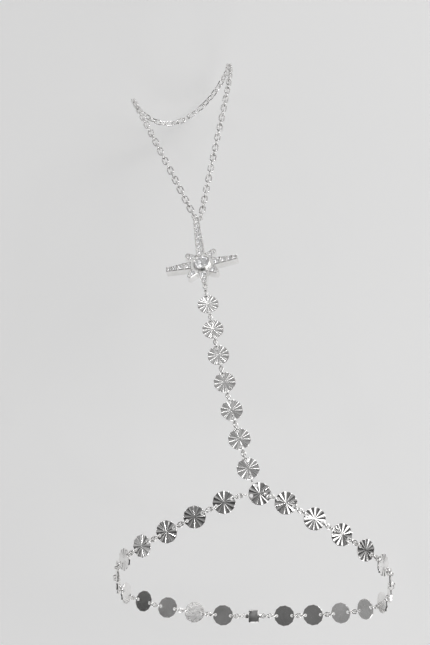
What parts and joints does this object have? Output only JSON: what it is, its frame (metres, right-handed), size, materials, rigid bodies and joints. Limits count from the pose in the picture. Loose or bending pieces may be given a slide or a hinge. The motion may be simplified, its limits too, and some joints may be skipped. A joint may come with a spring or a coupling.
{
  "type": "hand chain bracelet",
  "caption": "Hand chain bracelet in its worn form: fluted discs on small links round the wrist and up the hand, a stone-set star, and a fine chain that loops a finger.",
  "frame": {"origin": "middle of the wrist loop, where the wrist passes through", "axes": "+Y along the forearm towards the fingers, +Z out of the back of the hand, +X towards the forefinger's side"},
  "size_m": [0.0552, 0.1306, 0.0691],
  "materials": {
    "silver": "polished",
    "clear_stone": "polished cut stone"
  },
  "bodies": {
    "root": {"junction_disc": "silver", "hand_disc_1": "silver", "hand_disc_2": "silver", "hand_disc_3": "silver", "hand_disc_4": "silver", "hand_disc_5": "silver", "hand_disc_6": "silver", "hand_disc_7": "silver", "left_disc_1": "silver", "left_disc_2": "silver", "left_disc_3": "silver", "left_disc_4": "silver", "left_disc_5": "silver", "left_disc_6": "silver", "left_disc_7": "silver", "left_disc_8": "silver", "left_disc_9": "silver", "left_disc_10": "silver", "left_disc_11": "silver", "left_disc_12": "silver", "right_disc_1": "silver", "right_disc_2": "silver", "right_disc_3": "silver", "right_disc_4": "silver", "right_disc_5": "silver", "right_disc_6": "silver", "right_disc_7": "silver", "right_disc_8": "silver", "right_disc_9": "silver", "right_disc_10": "silver", "right_disc_11": "silver", "right_disc_12": "silver", "hand_links": "silver", "left_links": "silver", "right_links": "silver", "clasp_bar": "silver", "star_setting": "silver", "centre_stone": "clear_stone", "star_stones": "clear_stone", "finger_chain_left": "silver", "finger_chain_right": "silver"}
  },
  "joints": []
}
